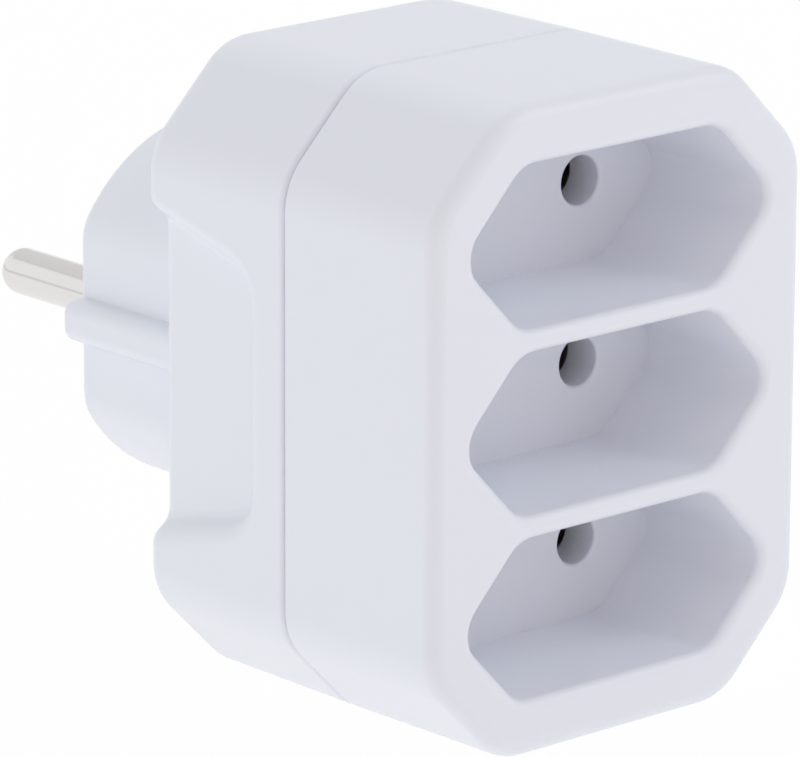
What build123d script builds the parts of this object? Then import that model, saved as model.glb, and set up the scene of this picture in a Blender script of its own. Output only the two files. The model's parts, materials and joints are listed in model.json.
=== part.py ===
from build123d import *
import math
import os

# Three-way mains adapter for flat two-pin plugs, in millimetres.
# X points right seen from the socket side, Z up, and the plug's pins point along +Y.
# The origin is the middle of the plug's end face, between the two pins.

# Sockets: long six-sided recesses, one above the other, with two pin holes each
socket_count = 3
socket_width = 40.2          # across the two side points, before they are rounded
socket_flat = 25.2           # length of the straight upper and lower sides
socket_height = 15.85
socket_web = 2.2             # wall left between one socket and the next
socket_depth = 16.0
socket_side_radius = 3.2
socket_corner_radius = 4.0
socket_mouth_radius = 1.0
socket_wall = 1.7
socket_floor = 2.2
pin_hole_diameter = 4.9
pin_hole_rounding = 0.4      # at the hole's mouth in the socket floor
pin_hole_spacing = 19.0
collar_diameter = 7.4        # guide collar round each pin hole, behind the floor
collar_length = 2.0

# Housing: two shells that meet at the parting plane
side_margin = 3.8            # housing side beyond the sockets' side points
end_margin = 5.7             # housing top and bottom beyond the outer sockets
corner_run_x = 9.3           # sideways run of each slanted corner
corner_run_z = 9.4           # upright run of each slanted corner
cover_depth = 20.8
rear_depth = 20.95
wall = 2.0
front_plate = 2.2
draft = 0.3                  # degrees by which both shells narrow from the parting plane
corner_radius = 7.0          # between the slanted corners and the flat sides
front_edge_radius = 1.8
rear_edge_radius = 2.0       # back edge and the rims of the finger grips
parting_gap = 0.45
rim_radius = 0.6             # rounded rim of the rear shell beside the gap
tongue_height = 1.6
tongue_thickness = 0.8
tongue_clearance = 0.15

# Finger grips sunk into both sides of the rear shell, open to the back
grip_depth = 2.2
grip_length = 15.9
grip_back_height = 33.8
grip_front_height = 25.6
grip_corner_radius = 5.0
grip_floor_radius = 1.4
grip_slope = 33.0            # degrees by which the grip's walls lean out

# Plug body
plug_radius = 18.7
plug_flat_width = 32.7       # across the two flattened sides
plug_corner_radius = 5.0     # between the flattened and the round sides
plug_length = 19.0
plug_wall = 2.2
plug_end_wall = 3.0
plug_edge_radius = 1.0
guide_rib_width = 4.2
guide_rib_height = 2.4
guide_rib_radius = 1.4
plug_divider = 1.8           # insulating wall between the two poles
boss_diameter = 8.4
boss_length = 6.0

# Plug pins
pin_diameter = 4.8
pin_length = 19.5
pin_spacing = 19.0
pin_clearance = 0.1
pin_neck_diameter = 4.2      # through the plug's end wall
pin_shank_diameter = 3.0     # through the busbar's foot
pin_head_diameter = 4.6
pin_head_top = 3.2
pin_head_height = 0.9

# Busbars, folded from strip: an upright run with a tail folded back to the plug pin
strip_thickness = 1.0
strip_standoff = 2.4         # height of the pads that carry the strip
strip_margin = 3.5           # strip beyond the pin holes' line
strip_end = 0.5              # strip beyond its end pads
bend_radius = 1.1            # at the middle of the strip
tail_width = 7.0
tail_offset = 4.4            # from the pin's line to the folded tail
foot_margin = 3.0            # foot beyond the pin's line

# Contact clips, folded from spring sheet, and their rivets
clip_thickness = 0.5
clip_height = 7.0
clip_base_width = 6.0
clip_waist_gap = 3.6
clip_mouth_width = 6.8
clip_mouth_clearance = 3.5   # between the clip's mouth and the collar in front of it
clip_flare_length = 4.2
clip_bend_radius = 0.7
rivet_diameter = 2.4
rivet_head_diameter = 4.0
rivet_head_top = 2.8
rivet_head_height = 0.8

# Posts of the front cover that hold the strips down on their pads
post_width = 4.0
post_thickness = 2.4
post_gap = 0.8               # between a clip and the post beside it
post_clearance = 0.1

# Housing screws, from the back
screw_diameter = 2.9
screw_length = 14.0
screw_head_diameter = 5.6
screw_head_height = 2.2
screw_head_bevel = 0.6
screw_slot_width = 0.9
screw_slot_length = 3.6
screw_slot_depth = 1.1
screw_clearance = 0.1
screw_sink = 0.6             # depth of the screw head under the back face
screw_seat = 2.0
screw_column_diameter = 8.4
screw_boss_diameter = 7.0

# Worked out from the sizes above
socket_pitch = socket_height + socket_web
housing_width = socket_width + 2 * side_margin
housing_height = (socket_count - 1) * socket_pitch + socket_height + 2 * end_margin
back_y = -plug_length
parting_y = back_y - rear_depth
front_y = parting_y - cover_depth
floor_y = front_y + socket_depth
floor_back_y = floor_y + socket_floor
collar_end_y = floor_back_y + collar_length
back_wall_y = back_y - wall
strip_back_y = back_wall_y - strip_standoff
strip_front_y = strip_back_y - strip_thickness
boss_end_y = -plug_end_wall - boss_length
hole_x = pin_hole_spacing / 2
pin_x = pin_spacing / 2
tail_x = min(hole_x, pin_x) - tail_offset
socket_rows = [socket_pitch * (row - (socket_count - 1) / 2) for row in range(socket_count)]
post_z = socket_rows[-1] + clip_height / 2 + post_gap + post_thickness / 2
strip_half_length = post_z + post_thickness / 2 + strip_end
screw_z = (plug_radius + housing_height / 2) / 2
screw_seat_y = back_y - screw_sink - screw_head_height
column_end_y = screw_seat_y - screw_seat
mouth_radius = min(socket_mouth_radius, 0.45 * socket_web)
SIDES = (-1, 1)


def across(y):
    """Plane across the adapter at a Y position, drawn in X and Z."""
    return Plane.XZ.offset(-y)


def rod(diameter, y_start, y_end, x=0.0, z=0.0):
    """Round bar along Y."""
    return extrude(across(y_end) * Pos(x, z) * Circle(diameter / 2), y_end - y_start)


def block(x_start, x_end, y_start, y_end, z_start, z_end):
    """Rectangular bar between pairs of positions, in either order."""
    size = (abs(x_end - x_start), abs(y_end - y_start), abs(z_end - z_start))
    middle = ((x_start + x_end) / 2, (y_start + y_end) / 2, (z_start + z_end) / 2)
    return Pos(*middle) * Box(*size)


def octagon(inset):
    """Eight-sided housing outline with all sides moved in by inset and its corners rounded."""
    half_x = housing_width / 2
    half_z = housing_height / 2
    slant = math.hypot(corner_run_x, corner_run_z)
    reach = corner_run_z * half_x + corner_run_x * (half_z - corner_run_z) - inset * slant
    side = half_x - inset
    top = half_z - inset
    top_end = (reach - corner_run_x * top) / corner_run_z
    side_end = (reach - corner_run_z * side) / corner_run_x
    quarter = [(side, side_end), (top_end, top)]
    points = quarter + [(-x, z) for x, z in reversed(quarter)]
    points += [(-x, -z) for x, z in points]
    outline = Polygon(*points, align=None)
    return fillet(outline.vertices(), corner_radius - inset)


def hexagon(grow):
    """Six-sided socket outline with all sides moved out by grow and its corners rounded."""
    point_x = socket_width / 2
    flat_x = socket_flat / 2
    top_z = socket_height / 2
    reach = top_z * point_x + grow * math.hypot(top_z, point_x - flat_x)
    top = top_z + grow
    point = reach / top_z
    flat = (reach - (point_x - flat_x) * top) / top_z
    corners = [(point, 0), (flat, top), (-flat, top), (-point, 0), (-flat, -top), (flat, -top)]
    outline = Polygon(*corners, align=None)
    outline = fillet([v for v in outline.vertices() if abs(v.Y) > top / 2], socket_corner_radius + grow)
    return fillet([v for v in outline.vertices() if abs(v.Y) < top / 9], socket_side_radius + grow)


def grip_block(grow):
    """Space of the right-hand finger grip, or with grow the wall that stands behind it."""
    floor_x = housing_width / 2 - grip_depth - grow
    lean_in = grip_depth * math.tan(math.radians(grip_slope))
    back = back_y + plug_length / 4
    widen = (grip_back_height - grip_front_height) / 2 / grip_length
    front = back_y - grip_length + lean_in - grow
    front_half = grip_front_height / 2 - lean_in * (1 - widen) + grow
    back_half = front_half + widen * (back - front)
    corners = [(front, -front_half), (back, -back_half), (back, back_half), (front, front_half)]
    outline = Polygon(*corners, align=None)
    rounded = [v for v in outline.vertices() if v.X < (front + back) / 2]
    outline = fillet(rounded, grip_corner_radius - lean_in + grow)
    outer = grip_depth + grow + wall
    space = extrude(Plane.YZ.offset(floor_x) * outline, outer, taper=-grip_slope)
    floor = space.faces().sort_by(Axis.X)[0]
    return fillet(floor.edges().sort_by(Axis.Y)[:-1], grip_floor_radius)


def make_front_cover():
    cover = extrude(across(parting_y) * octagon(0), cover_depth, taper=draft)
    recess = extrude(across(floor_y) * hexagon(0), socket_depth)
    cover -= [Pos(0, 0, z) * recess for z in socket_rows]
    face = cover.faces().sort_by(Axis.Y)[0]
    mouths = [edge for wire in face.inner_wires() for edge in wire.edges()]
    cover = fillet(mouths, mouth_radius)
    face = cover.faces().sort_by(Axis.Y)[0]
    cover = fillet(face.outer_wire().edges(), front_edge_radius)

    cavity = extrude(across(parting_y) * octagon(wall), cover_depth - front_plate)
    for z in socket_rows:
        pocket = extrude(across(floor_back_y) * hexagon(socket_wall), floor_back_y - front_y)
        cavity -= Pos(0, 0, z) * pocket
    cover -= cavity

    # rebate inside the rim for the rear shell's tongue
    rebate = wall - tongue_thickness - tongue_clearance
    cover -= extrude(across(parting_y) * octagon(rebate), tongue_height)

    for side in SIDES:
        for z in socket_rows:
            cover += rod(collar_diameter, floor_y, collar_end_y, side * hole_x, z)
        for end in SIDES:
            post_x = (side * (hole_x - post_width / 2), side * (hole_x + post_width / 2))
            post = (end * (post_z - post_thickness / 2), end * (post_z + post_thickness / 2))
            cover += block(*post_x, floor_y + socket_floor / 2, strip_front_y - post_clearance, *post)
        cover += rod(screw_boss_diameter, floor_y + socket_floor / 2, column_end_y, 0, side * screw_z)

    for side in SIDES:
        for z in socket_rows:
            cover -= rod(pin_hole_diameter, floor_y - socket_floor, collar_end_y, side * hole_x, z)
        pilot_y = screw_seat_y - screw_length
        cover -= rod(screw_diameter + 2 * screw_clearance, pilot_y, column_end_y, 0, side * screw_z)
    rings = cover.edges().filter_by(GeomType.CIRCLE).filter_by(lambda ring: ring.is_closed)
    mouths = rings.filter_by_position(Axis.Y, floor_y - pin_hole_rounding, floor_y + pin_hole_rounding)
    return fillet(mouths, pin_hole_rounding)


def plug_outline(inset):
    """Round plug section with two flattened sides, moved in by inset."""
    flats = Rectangle(plug_flat_width - 2 * inset, 2 * plug_radius)
    outline = Circle(plug_radius - inset) & flats
    return fillet(outline.vertices(), plug_corner_radius - inset)


def make_rear_housing():
    rim_y = parting_y + parting_gap
    shell = extrude(across(rim_y) * octagon(0), back_y - rim_y, dir=(0, 1, 0), taper=draft)
    rim = shell.faces().sort_by(Axis.Y)[0]
    shell = fillet(rim.edges(), rim_radius)
    grip = grip_block(0)
    shell -= [grip, mirror(grip, Plane.YZ)]
    side_x = housing_width / 2 - grip_depth / 3
    grip_rims = [edge for edge in shell.edges() if edge_on_side(edge, side_x)]
    back = shell.faces().sort_by(Axis.Y)[-1]
    shell = fillet(grip_rims + back.outer_wire().edges(), rear_edge_radius)

    plug = extrude(across(0) * plug_outline(0), plug_length + wall / 2)
    rib_x = plug_flat_width / 2 + guide_rib_height
    ribs = block(-rib_x, rib_x, back_wall_y, 0, -guide_rib_width / 2, guide_rib_width / 2)
    plug += fillet(ribs.edges().filter_by(Axis.Y), guide_rib_radius)
    end = plug.faces().sort_by(Axis.Y)[-1]
    plug = fillet(end.outer_wire().edges(), plug_edge_radius)
    shell += plug

    # hollow inside, with the side walls following the finger grips
    cavity = extrude(across(back_wall_y) * octagon(wall), back_wall_y - rim_y)
    backing = grip_block(wall)
    cavity -= [backing, mirror(backing, Plane.YZ)]
    shell -= cavity
    shell -= extrude(across(-plug_end_wall) * plug_outline(plug_wall), plug_length - plug_end_wall + wall)

    # tongue that seats in the front cover's rebate
    tongue = wall - tongue_thickness
    ring = octagon(tongue) - octagon(wall)
    shell += extrude(across(rim_y + wall) * ring, wall + parting_gap + tongue_height)

    # insulating wall between the poles, and a boss with a web for each pin
    inside = extrude(across(-plug_end_wall / 2) * plug_outline(plug_wall / 2), plug_length + wall)
    ribbing = block(-plug_divider / 2, plug_divider / 2, back_wall_y, 0, -plug_radius, plug_radius)
    for side in SIDES:
        ribbing += rod(boss_diameter, boss_end_y, 0, side * pin_x)
        ribbing += block(side * pin_x, side * plug_radius, boss_end_y, 0,
                         -plug_divider / 2, plug_divider / 2)
    shell += ribbing & inside

    for side in SIDES:
        shell -= rod(pin_neck_diameter + 2 * pin_clearance, boss_end_y, 0, side * pin_x)
        for end in SIDES:
            pad_x = (side * (hole_x - post_width / 2), side * (hole_x + post_width / 2))
            pad_z = (end * (post_z - post_thickness / 2), end * (post_z + post_thickness / 2))
            shell += block(*pad_x, strip_back_y, back_wall_y + wall / 2, *pad_z)
        shell += rod(screw_column_diameter, column_end_y, back_y - wall / 2, 0, side * screw_z)
        shell -= rod(screw_head_diameter + 4 * screw_clearance, screw_seat_y, back_y, 0, side * screw_z)
        shell -= rod(screw_diameter + 2 * screw_clearance, column_end_y, back_y, 0, side * screw_z)
    return shell


def edge_on_side(edge, side_x):
    """True for an edge that lies wholly in one of the housing's flat sides, clear of the rim."""
    box = edge.bounding_box()
    beside = box.min.X > side_x or box.max.X < -side_x
    low = max(abs(box.min.Z), abs(box.max.Z)) < grip_back_height / 2 + grip_depth
    return beside and low and box.max.Y > back_y - grip_length - grip_depth and box.min.Y > parting_y + wall


def make_plug_pin(side):
    """Turned pin with a round end, a neck through the plug's end wall and a riveted tail."""
    free = pin_diameter / 2
    neck = pin_neck_diameter / 2
    shank = pin_shank_diameter / 2
    head_y = boss_end_y - strip_thickness
    tail_y = head_y - pin_head_height
    shoulder_y = pin_length - free
    round_end = CenterArc((0, shoulder_y), free, 0, 90)
    steps = Polyline((free, shoulder_y), (free, 0), (neck, 0), (neck, boss_end_y), (shank, boss_end_y),
                     (shank, head_y), (pin_head_diameter / 2, head_y), (pin_head_top / 2, tail_y),
                     (0, tail_y), (0, pin_length))
    return Pos(side * pin_x, 0, 0) * revolve(make_face([round_end, steps]), Axis.Y)


def make_busbar(side):
    strip_y = (strip_front_y + strip_back_y) / 2
    foot_y = boss_end_y - strip_thickness / 2
    edge_x = hole_x + strip_margin
    route = FilletPolyline((edge_x, strip_y), (tail_x, strip_y), (tail_x, foot_y),
                           (pin_x + foot_margin, foot_y), radius=bend_radius)
    tail = extrude(trace(route, strip_thickness), tail_width / 2, both=True)
    bar = tail + block(tail_x + bend_radius, edge_x, strip_front_y, strip_back_y,
                       -strip_half_length, strip_half_length)
    for z in socket_rows:
        bar -= rod(rivet_diameter, strip_front_y, strip_back_y, hole_x, z)
    bar -= rod(pin_shank_diameter, boss_end_y - strip_thickness, boss_end_y, pin_x)
    return bar if side > 0 else mirror(bar, Plane.YZ)


def make_contact_clip(side, z):
    half = clip_thickness / 2
    base_y = strip_front_y - half
    mouth_y = collar_end_y + clip_mouth_clearance
    waist_y = mouth_y + clip_flare_length
    mouth_x = clip_mouth_width / 2
    waist_x = clip_waist_gap / 2 + half
    base_x = clip_base_width / 2
    path = [(-mouth_x, mouth_y), (-waist_x, waist_y), (-base_x, base_y),
            (base_x, base_y), (waist_x, waist_y), (mouth_x, mouth_y)]
    profile = trace(FilletPolyline(*path, radius=clip_bend_radius), clip_thickness)
    clip = Pos(side * hole_x, 0, z) * extrude(profile, clip_height / 2, both=True)
    return clip - rod(rivet_diameter, strip_front_y - clip_thickness, strip_front_y, side * hole_x, z)


def make_clip_rivets():
    """Six flat-headed rivets that fix the contact clips on the strips."""
    shank = rivet_diameter / 2
    rim = rivet_head_diameter / 2
    top = rivet_head_top / 2
    clip_y = strip_front_y - clip_thickness
    front_top = clip_y - rivet_head_height
    back_top = strip_back_y + rivet_head_height
    profile = Polygon((0, front_top), (top, front_top), (rim, clip_y), (shank, clip_y),
                      (shank, strip_back_y), (rim, strip_back_y), (top, back_top), (0, back_top), align=None)
    rivet = revolve(profile, Axis.Y)
    return [Pos(side * hole_x, 0, z) * rivet for side in SIDES for z in socket_rows]


def make_housing_screws():
    head_top = screw_seat_y + screw_head_height
    screw = rod(screw_head_diameter, screw_seat_y, head_top)
    screw = chamfer(screw.faces().sort_by(Axis.Y)[-1].edges(), screw_head_bevel)
    screw += rod(screw_diameter, screw_seat_y - screw_length, screw_seat_y)
    slot = (screw_slot_length / 2, screw_slot_width / 2)
    for half_x, half_z in (slot, slot[::-1]):
        screw -= block(-half_x, half_x, head_top - screw_slot_depth, head_top, -half_z, half_z)
    return [Pos(0, 0, side * screw_z) * screw for side in SIDES]


def write(node, solids):
    """One file per piece; like fasteners share a file as separate solids."""
    shape = Compound(children=solids) if isinstance(solids, list) else solids
    export_step(shape, os.path.join("parts", node + ".step"))


if __name__ == "__main__":
    os.makedirs("parts", exist_ok=True)
    write("front_cover", make_front_cover())
    write("rear_housing", make_rear_housing())
    for side_name, side in (("left", -1), ("right", 1)):
        write("plug_pin_" + side_name, make_plug_pin(side))
        write("busbar_" + side_name, make_busbar(side))
        for row_name, z in zip(("bottom", "middle", "top"), socket_rows):
            write("contact_clip_" + side_name + "_" + row_name, make_contact_clip(side, z))
    write("clip_rivets", make_clip_rivets())
    write("housing_screws", make_housing_screws())
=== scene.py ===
"""Looks of a white three-way mains adapter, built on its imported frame.

Metres, in the frame's own axes: X to the right seen from the sockets, Z up, the plug's pins along +Y.
"""
import json
import math

import bpy
import numpy as np
from mathutils import Matrix, Vector


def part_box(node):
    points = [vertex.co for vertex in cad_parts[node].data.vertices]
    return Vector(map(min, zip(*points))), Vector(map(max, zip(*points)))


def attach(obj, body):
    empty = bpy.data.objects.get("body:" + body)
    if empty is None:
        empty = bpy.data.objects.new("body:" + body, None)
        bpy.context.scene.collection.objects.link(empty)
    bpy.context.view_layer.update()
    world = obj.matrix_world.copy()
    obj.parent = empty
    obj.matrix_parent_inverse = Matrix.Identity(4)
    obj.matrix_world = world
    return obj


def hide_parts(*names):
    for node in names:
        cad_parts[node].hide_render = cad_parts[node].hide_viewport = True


MM = 0.001

# Camera, measured from the middle of the front face
VIEW_TURN = math.radians(41.83)       # to the left of straight on
VIEW_RISE = math.radians(15.721)      # above level
VIEW_ROLL = math.radians(-0.245)
VIEW_DISTANCE = 619.04 * MM
AIM_RIGHT = -20.891 * MM              # image centre, along the camera's right and up
AIM_UP = 3.346 * MM
IMAGE_WIDTH = 800
FOCAL_PIXELS = 6581.3
SENSOR_WIDTH = 36.0
CLIP_NEAR = 0.01
CLIP_FAR = 20.0

# Light from each side of the room
STUDIO_LEFT = 0.75
STUDIO_RIGHT = 0.40
STUDIO_FRONT = 0.35
STUDIO_BACK = 0.30
STUDIO_TOP = 0.44
STUDIO_UNDER = 0.40

# Light table under the object
TABLE_HALF = 4.0
TABLE_PAPER = (0.92, 0.92, 0.92)
TABLE_GLOW = 1.11                     # light that the table gives, as seen by the object
TABLE_SHARE = 0.5                     # share of the table's surface that glows for the object
TABLE_SHARE_SEEN = 0.975              # and for the camera; the rest is paper that takes the shadow

# Square soft lamps: name, direction from the object, watts, colour, seen in mirrors
LAMP_DISTANCE = 0.8
LAMP_SIZE = 0.56
LAMPS = (
    ("front_left_lamp", (-0.40, -0.78, 0.36), 0.30, (1.28, 0.80, 0.92), True),
    ("left_back_lamp", (-0.70, 0.65, 0.25), 1.00, (0.92, 1.02, 1.06), False),
    ("back_high_lamp", (0.32, 0.45, 0.83), 1.50, (0.97, 1.01, 1.03), False),
    ("right_front_lamp", (0.50, -0.62, 0.60), 1.58, (0.95, 1.00, 1.05), True),
)

# Pale cards for the metal's reflections: a ceiling in three parts, and an upright strip behind on the left
CEILING_HEIGHT = 0.62
CEILING_LEFT = -1.5
CEILING_MIDDLE = 0.0
CEILING_RIGHT = 2.4
CEILING_FRONT = -1.5
CEILING_LEFT_BACK = 0.76              # back of the left part, where its darker edge starts
CEILING_EDGE_BACK = 0.795
CEILING_RIGHT_BACK = 2.4
CEILING_LEVEL = 0.80
EDGE_LEVEL = 0.60
STRIP_START = (-0.70, 0.0)
STRIP_END = (0.04, 0.72)
STRIP_TOP = 0.026
STRIP_LEVEL = 0.78

# Moulded grain of the plastic
GRAIN_SPOTS = (3200, 3200, 3200)      # per metre along X, Y and Z
GRAIN_DETAIL = 2.0
GRAIN_DEPTH = 0.02 * MM
GRAIN_STRENGTH = 0.12

# Copies of the frame's nodes
MERGE_STEP = 0.0001 * MM
SHARP_EDGE = math.radians(34)
FLAT_FACE_WEIGHT = 60


def white_plastic():
    """Satin moulding: a fine even grain, and a faint unevenness in gloss and shade over a few centimetres."""
    material, shader = varied_finish(
        "moulded_white_plastic", dark=(0.868, 0.888, 0.945), light=(0.880, 0.900, 0.957),
        smooth=0.32, rough=0.40, spots=(45, 45, 45), detail=2.0)
    tree = material.node_tree
    bump = tree.nodes.new("ShaderNodeBump")
    bump.inputs["Strength"].default_value = GRAIN_STRENGTH
    bump.inputs["Distance"].default_value = GRAIN_DEPTH
    tree.links.new(noise_pattern(tree, GRAIN_SPOTS, GRAIN_DETAIL), bump.inputs["Height"])
    tree.links.new(bump.outputs["Normal"], shader.inputs["Normal"])
    return material


def nickel_plate():
    """Drawn pins: fine streaks along each pin."""
    return metal(
        "nickel_plate", dark=(0.745, 0.730, 0.720), light=(0.795, 0.780, 0.772),
        smooth=0.07, rough=0.17, spots=(3000, 60, 3000))


def brass_strip():
    """Rolled strips: streaks along their length, which is upright."""
    return metal(
        "brass_strip", dark=(0.69, 0.47, 0.18), light=(0.75, 0.53, 0.22),
        smooth=0.26, rough=0.42, spots=(1800, 1800, 80))


def spring_bronze():
    """Rolled clips: streaks along their leaves."""
    return metal(
        "spring_bronze", dark=(0.62, 0.37, 0.18), light=(0.70, 0.43, 0.22),
        smooth=0.22, rough=0.38, spots=(2200, 120, 2200))


def rivet_brass():
    """Upset heads: small uneven spots."""
    return metal(
        "rivet_brass", dark=(0.71, 0.51, 0.22), light=(0.77, 0.57, 0.26),
        smooth=0.22, rough=0.38, spots=(1400, 1400, 1400))


def zinc_steel():
    """Zinc coat of the screws: small cloudy spots."""
    return metal(
        "zinc_steel", dark=(0.55, 0.56, 0.58), light=(0.65, 0.66, 0.68),
        smooth=0.22, rough=0.42, spots=(1600, 1600, 1600))


def metal(name, dark, light, smooth, rough, spots):
    """Metal whose streaks or spots vary its gloss and, a little, its shade."""
    return varied_finish(name, dark, light, smooth, rough, spots, detail=3.0, metallic=1.0)[0]


def varied_finish(name, dark, light, smooth, rough, spots, detail, metallic=0.0):
    """Material and its shader, whose colour runs from dark to light and its roughness from smooth to rough.

    One noise pattern carries both. The light colour and the mean roughness also stand on the sockets, as
    plain values for a viewer that reads no pattern.
    """
    material = bpy.data.materials.new(name)
    material.use_nodes = True
    tree = material.node_tree
    shader = tree.nodes["Principled BSDF"]
    shader.inputs["Base Color"].default_value = (*light, 1.0)
    shader.inputs["Roughness"].default_value = (smooth + rough) / 2
    shader.inputs["Metallic"].default_value = metallic
    pattern = noise_pattern(tree, spots, detail)
    link_range(tree, pattern, smooth, rough, shader.inputs["Roughness"])
    shade = tree.nodes.new("ShaderNodeMix")
    shade.data_type = "RGBA"
    shade.inputs["A"].default_value = (*dark, 1.0)
    shade.inputs["B"].default_value = (*light, 1.0)
    tree.links.new(pattern, shade.inputs["Factor"])
    tree.links.new(shade.outputs["Result"], shader.inputs["Base Color"])
    return material, shader


def noise_pattern(tree, spots, detail):
    """Noise from 0 to 1 in the object's own coordinates, with so many spots per metre along each axis."""
    place = tree.nodes.new("ShaderNodeMapping")
    place.inputs["Scale"].default_value = spots
    tree.links.new(tree.nodes.new("ShaderNodeTexCoord").outputs["Object"], place.inputs["Vector"])
    noise = tree.nodes.new("ShaderNodeTexNoise")
    noise.inputs["Scale"].default_value = 1.0
    noise.inputs["Detail"].default_value = detail
    tree.links.new(place.outputs["Vector"], noise.inputs["Vector"])
    return noise.outputs["Fac"]


def link_range(tree, value, low, high, socket):
    """Sends a value from 0 to 1 to a socket as a level from low to high."""
    level = tree.nodes.new("ShaderNodeMapRange")
    level.inputs["To Min"].default_value = low
    level.inputs["To Max"].default_value = high
    tree.links.new(value, level.inputs["Value"])
    tree.links.new(level.outputs["Result"], socket)


def math_node(tree, operation, first, second):
    """Result of one sum on a node's output and a number or another output."""
    node = tree.nodes.new("ShaderNodeMath")
    node.operation = operation
    tree.links.new(first, node.inputs[0])
    if isinstance(second, float):
        node.inputs[1].default_value = second
    else:
        tree.links.new(second, node.inputs[1])
    return node.outputs[0]


def smooth_copy(node, name):
    """Copy of a frame node. Corners at one place, to a ten-thousandth of a millimetre, become one point.

    Edges sharper than SHARP_EDGE stay creased. Elsewhere a point's normal is the mean of its faces' normals,
    each weighted by area and corner angle, so flats stay flat and roundings run smoothly.
    """
    source = frame["nodes"][node].data
    source.calc_loop_triangles()
    places = np.empty(len(source.vertices) * 3)
    source.vertices.foreach_get("co", places)
    places = places.reshape(-1, 3)
    corners = np.empty(len(source.loop_triangles) * 3, int)
    source.loop_triangles.foreach_get("vertices", corners)
    cells = np.round(places / MERGE_STEP).astype(np.int64)
    _, first, index = np.unique(cells, axis=0, return_index=True, return_inverse=True)
    faces = index.reshape(-1)[corners].reshape(-1, 3)
    whole = (faces[:, 0] != faces[:, 1]) & (faces[:, 1] != faces[:, 2]) & (faces[:, 2] != faces[:, 0])
    piece = mesh_piece(name, places[first], faces[whole])
    piece.data.set_sharp_from_angle(angle=SHARP_EDGE)
    weighted = piece.modifiers.new("flat_faces_lead", "WEIGHTED_NORMAL")
    weighted.mode = "FACE_AREA_WITH_ANGLE"
    weighted.weight = FLAT_FACE_WEIGHT
    weighted.keep_sharp = True
    return piece


def mesh_piece(name, points, faces):
    """Object at the origin with a smooth-shaded mesh of these points and faces."""
    mesh = bpy.data.meshes.new(name)
    mesh.from_pydata(points.tolist(), [], faces.tolist())
    mesh.shade_smooth()
    piece = bpy.data.objects.new(name, mesh)
    bpy.context.scene.collection.objects.link(piece)
    return piece


def dress(piece, node, material):
    """Gives a piece its material and puts it on the frame in place of a node."""
    piece.data.materials.append(material)
    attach(piece, "root")
    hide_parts(node)


def add_camera(centre):
    """Camera turned round the front face's middle by turn, rise and roll, and pulled back along its axis."""
    turn_c, turn_s = math.cos(VIEW_TURN), math.sin(VIEW_TURN)
    rise_c, rise_s = math.cos(VIEW_RISE), math.sin(VIEW_RISE)
    level_right = Vector((turn_c, -turn_s, 0))
    level_up = Vector((rise_s * turn_s, rise_s * turn_c, rise_c))
    forward = Vector((rise_c * turn_s, rise_c * turn_c, -rise_s))
    right = math.cos(VIEW_ROLL) * level_right - math.sin(VIEW_ROLL) * level_up
    up = math.sin(VIEW_ROLL) * level_right + math.cos(VIEW_ROLL) * level_up
    place = centre + AIM_RIGHT * right + AIM_UP * up - VIEW_DISTANCE * forward
    data = bpy.data.cameras.new("camera")
    data.sensor_fit = "HORIZONTAL"
    data.sensor_width = SENSOR_WIDTH
    data.lens = FOCAL_PIXELS / IMAGE_WIDTH * SENSOR_WIDTH
    data.clip_start = CLIP_NEAR
    data.clip_end = CLIP_FAR
    camera = bpy.data.objects.new("camera", data)
    basis = Matrix((right, up, -forward)).transposed().to_4x4()
    camera.matrix_world = Matrix.Translation(place) @ basis
    bpy.context.scene.collection.objects.link(camera)
    bpy.context.scene.camera = camera


def studio_panel(name, corners):
    """Four-cornered face of the studio, with the empty node tree of its own material."""
    mesh = bpy.data.meshes.new(name)
    mesh.from_pydata(corners, [], [(0, 1, 2, 3)])
    panel = bpy.data.objects.new(name, mesh)
    bpy.context.scene.collection.objects.link(panel)
    material = bpy.data.materials.new(name + "_white")
    material.use_nodes = True
    material.node_tree.nodes.clear()
    mesh.materials.append(material)
    return panel, material.node_tree


def level_corners(left, right, front, back, height):
    """Corners of a level rectangle."""
    return [(left, front, height), (right, front, height), (right, back, height), (left, back, height)]


def add_floor(height):
    """Flat white light table: part paper, part glow. The camera and mirrors see more of the glow."""
    corners = level_corners(-TABLE_HALF, TABLE_HALF, -TABLE_HALF, TABLE_HALF, height)
    floor, tree = studio_panel("floor", corners)
    paper = tree.nodes.new("ShaderNodeBsdfDiffuse")
    paper.inputs["Color"].default_value = (*TABLE_PAPER, 1)
    glow = tree.nodes.new("ShaderNodeEmission")
    mix = tree.nodes.new("ShaderNodeMixShader")
    seen = seen_directly(tree)
    link_range(tree, seen, TABLE_GLOW, 1.0, glow.inputs["Strength"])
    link_range(tree, seen, TABLE_SHARE, TABLE_SHARE_SEEN, mix.inputs["Fac"])
    tree.links.new(paper.outputs[0], mix.inputs[1])
    tree.links.new(glow.outputs[0], mix.inputs[2])
    tree.links.new(mix.outputs[0], tree.nodes.new("ShaderNodeOutputMaterial").inputs["Surface"])


def seen_directly(tree):
    """1 for rays from the camera, a mirror or a clear piece, and 0 for the light that falls on the object."""
    path = tree.nodes.new("ShaderNodeLightPath").outputs
    seen = math_node(tree, "MAXIMUM", path["Is Camera Ray"], path["Is Glossy Ray"])
    return math_node(tree, "MAXIMUM", seen, path["Is Transmission Ray"])


def add_card(name, corners, level):
    """Pale card of the studio that only mirror reflections meet."""
    card, tree = studio_panel(name, corners)
    glow = tree.nodes.new("ShaderNodeEmission")
    glow.inputs["Strength"].default_value = level
    tree.links.new(glow.outputs[0], tree.nodes.new("ShaderNodeOutputMaterial").inputs["Surface"])
    card.visible_camera = False
    card.visible_diffuse = False
    card.visible_transmission = False
    card.visible_shadow = False


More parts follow.
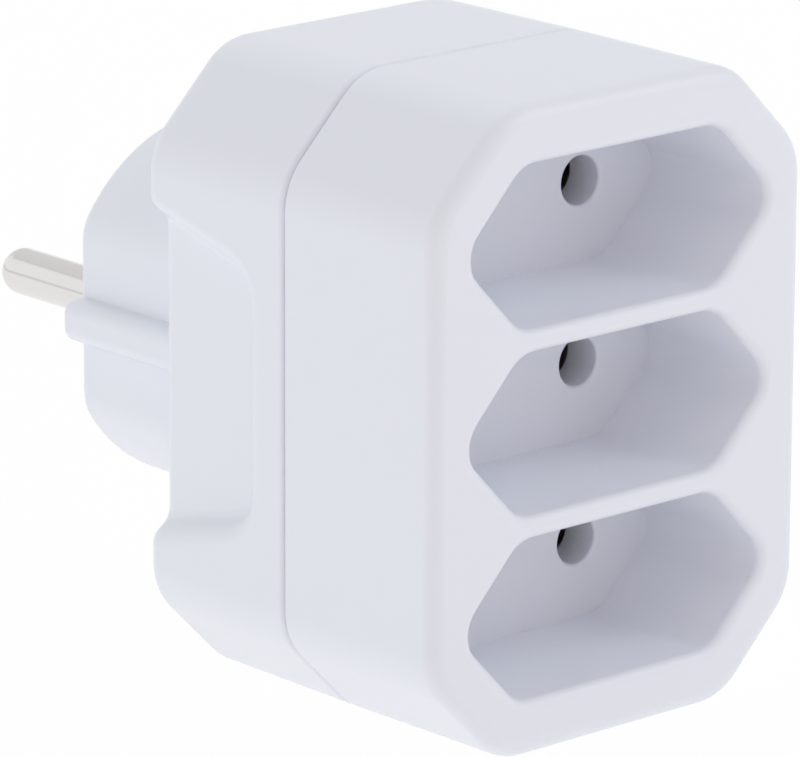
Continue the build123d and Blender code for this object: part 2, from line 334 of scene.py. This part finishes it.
def add_cards(table):
    """Ceiling over the object, with a darker back edge on its left, and an upright strip on the table."""
    ceiling = (
        ("ceiling_card", CEILING_LEFT, CEILING_MIDDLE, CEILING_FRONT, CEILING_LEFT_BACK, CEILING_LEVEL),
        ("ceiling_side", CEILING_MIDDLE, CEILING_RIGHT, CEILING_FRONT, CEILING_RIGHT_BACK, CEILING_LEVEL),
        ("ceiling_edge", CEILING_LEFT, CEILING_MIDDLE, CEILING_LEFT_BACK, CEILING_EDGE_BACK, EDGE_LEVEL),
    )
    for name, left, right, front, back, level in ceiling:
        add_card(name, level_corners(left, right, front, back, CEILING_HEIGHT), level)
    strip = [(*STRIP_START, table), (*STRIP_END, table), (*STRIP_END, STRIP_TOP), (*STRIP_START, STRIP_TOP)]
    add_card("low_strip", strip, STRIP_LEVEL)


def add_world():
    """White studio. Its level in a direction is the sum of six sides' levels.

    Each side counts by the square of the direction's part towards it, and the six squares add up to one.
    """
    world = bpy.data.worlds.new("studio")
    bpy.context.scene.world = world
    world.use_nodes = True
    tree = world.node_tree
    backdrop = tree.nodes["Background"]
    backdrop.inputs["Color"].default_value = (1, 1, 1, 1)
    split = tree.nodes.new("ShaderNodeSeparateXYZ")
    tree.links.new(tree.nodes.new("ShaderNodeTexCoord").outputs["Generated"], split.inputs["Vector"])
    sides = (
        ("X", STUDIO_LEFT, STUDIO_RIGHT),
        ("Y", STUDIO_FRONT, STUDIO_BACK),
        ("Z", STUDIO_UNDER, STUDIO_TOP),
    )
    shares = []
    for axis, low, high in sides:
        part = split.outputs[axis]
        square = math_node(tree, "MULTIPLY", part, part)
        side = math_node(tree, "GREATER_THAN", part, 0.0)
        share = tree.nodes.new("ShaderNodeMath")
        share.operation = "MULTIPLY"
        tree.links.new(square, share.inputs[0])
        link_range(tree, side, low, high, share.inputs[1])
        shares.append(share.outputs[0])
    light = math_node(tree, "ADD", math_node(tree, "ADD", *shares[:2]), shares[2])
    choose = tree.nodes.new("ShaderNodeMix")
    choose.inputs["B"].default_value = 1.0
    tree.links.new(seen_directly(tree), choose.inputs["Factor"])
    tree.links.new(light, choose.inputs["A"])
    tree.links.new(choose.outputs["Result"], backdrop.inputs["Strength"])


def add_lamp(name, place, target, watts, colour, mirrored):
    """Square soft lamp aimed at a point; mirrored says whether glossy surfaces show it."""
    data = bpy.data.lights.new(name, "AREA")
    data.shape = "SQUARE"
    data.size = LAMP_SIZE
    data.energy = watts
    data.color = colour
    lamp = bpy.data.objects.new(name, data)
    aim = (target - place).normalized().to_track_quat("-Z", "Y").to_matrix().to_4x4()
    lamp.matrix_world = Matrix.Translation(place) @ aim
    lamp.visible_glossy = mirrored
    bpy.context.scene.collection.objects.link(lamp)


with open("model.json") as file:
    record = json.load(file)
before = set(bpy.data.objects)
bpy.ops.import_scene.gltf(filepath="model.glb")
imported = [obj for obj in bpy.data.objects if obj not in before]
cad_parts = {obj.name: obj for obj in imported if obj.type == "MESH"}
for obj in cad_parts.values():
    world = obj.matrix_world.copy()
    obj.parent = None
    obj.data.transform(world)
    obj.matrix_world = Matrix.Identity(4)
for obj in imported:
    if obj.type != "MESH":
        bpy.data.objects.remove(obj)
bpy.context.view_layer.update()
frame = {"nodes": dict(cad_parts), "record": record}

finishes = {
    "white_plastic": white_plastic(),
    "nickel_plate": nickel_plate(),
    "brass_strip": brass_strip(),
    "spring_bronze": spring_bronze(),
    "rivet_brass": rivet_brass(),
    "zinc_steel": zinc_steel(),
}
for subpart in frame["record"]["subparts"]:
    node = subpart["node"]
    slot = subpart["material_slot"]
    dress(smooth_copy(node, node + "_finished"), node, finishes[slot])

table_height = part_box("rear_housing")[0].z
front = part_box("front_cover")[0].y
add_camera(Vector((0, front, 0)))
add_floor(table_height)
add_world()
add_cards(table_height)
lamp_target = Vector((0, front / 2, 0))
for name, direction, watts, colour, mirrored in LAMPS:
    add_lamp(name, Vector(direction).normalized() * LAMP_DISTANCE, lamp_target, watts, colour, mirrored)

bpy.context.scene.view_settings.view_transform = "Standard"
